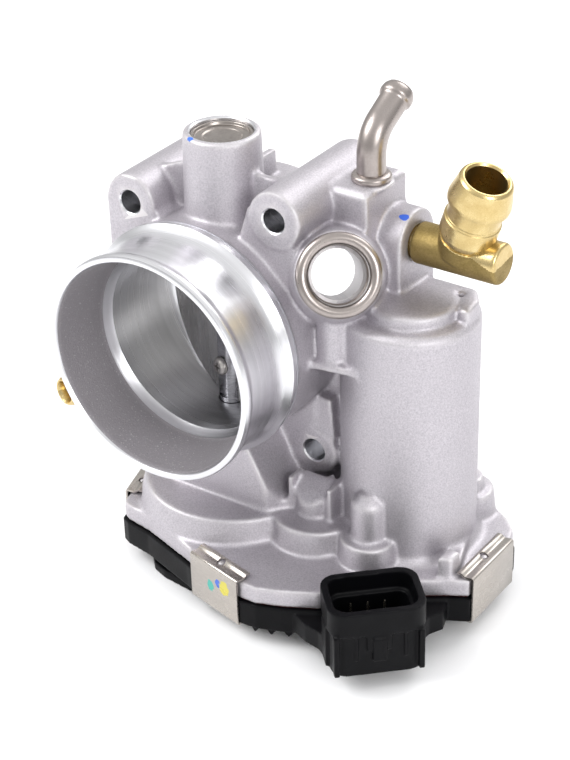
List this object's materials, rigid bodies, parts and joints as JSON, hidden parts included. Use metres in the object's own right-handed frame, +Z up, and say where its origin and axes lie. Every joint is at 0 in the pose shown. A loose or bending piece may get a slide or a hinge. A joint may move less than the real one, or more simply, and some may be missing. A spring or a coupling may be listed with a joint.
{
  "type": "electronic throttle body",
  "caption": "Motor-driven throttle body: round inlet stub, plate on a vertical shaft, geared motor tower, clipped plastic gear cover with upward connector, coolant pipe and brass union.",
  "frame": {"origin": "centre of the bore at the engine flange face", "axes": "+Y along the bore towards the engine, +X to the motor side, +Z up along the throttle shaft"},
  "size_m": [0.1284, 0.0821, 0.1482],
  "materials": {
    "cast_aluminium": "matt die-cast skin with machined seats",
    "zinc_plated_steel": "bright zinc plate",
    "bearing_steel": "ground",
    "black_rubber": "matt",
    "spring_steel": "satin drawn wire",
    "machined_aluminium": "fine turned",
    "nylon_gear": "satin natural nylon",
    "ferrite": "matt sintered magnet",
    "sintered_brass": "cut teeth",
    "nickel_steel": "satin nickel",
    "brass": "as forged rod and turned barb",
    "black_nylon": "satin moulded",
    "silicone": "matt",
    "circuit_board": "lacquered",
    "tinned_copper": "bright tin",
    "stainless": "satin rolled strip"
  },
  "bodies": {
    "case": {"housing": "cast_aluminium", "core_plug": "zinc_plated_steel", "upper_bearing": "bearing_steel", "lower_bearing": "bearing_steel", "shaft_seal": "black_rubber", "return_spring": "spring_steel", "stop_screw": "zinc_plated_steel", "intermediate_pin": "bearing_steel", "motor_can": "zinc_plated_steel", "motor_end_plate": "zinc_plated_steel", "motor_screws": "zinc_plated_steel", "wave_washer": "spring_steel", "motor_terminals": "tinned_copper", "port_ferrule": "nickel_steel", "coolant_tube": "nickel_steel", "brass_union": "brass", "vacuum_nipple": "brass", "gear_cover": "black_nylon", "cover_gasket": "silicone", "sensor_board": "circuit_board", "connector_pins": "tinned_copper", "clip_front": "stainless", "clip_left": "stainless", "clip_right": "stainless", "clip_rear": "stainless"},
    "throttle": {"throttle_shaft": "bearing_steel", "throttle_plate": "machined_aluminium", "plate_screws": "zinc_plated_steel", "sector_gear": "nylon_gear", "sensor_magnets": "ferrite"},
    "idler": {"intermediate_gear": "nylon_gear"},
    "rotor": {"motor_pinion": "sintered_brass"}
  },
  "joints": [
    {"name": "throttle_turn", "type": "hinge", "parent": "case", "child": "throttle", "pos_m": [0, -0.0294, 0], "axis": [0, 0, -1], "range_deg": [-12, 68], "stiffness_Nm_per_rad": 0.02},
    {"name": "idler_turn", "type": "hinge", "parent": "case", "child": "idler", "pos_m": [0.03166, -0.03402, 0], "axis": [0, 0, -1], "range_deg": [-206, 38]},
    {"name": "motor_turn", "type": "hinge", "parent": "case", "child": "rotor", "pos_m": [0.05257, -0.01757, 0], "axis": [0, 0, -1], "range_deg": [-137, 768]}
  ],
  "couplings": [
    {"joint": "idler_turn", "follows": "throttle_turn", "ratio": -3},
    {"joint": "motor_turn", "follows": "throttle_turn", "ratio": 11.25}
  ]
}
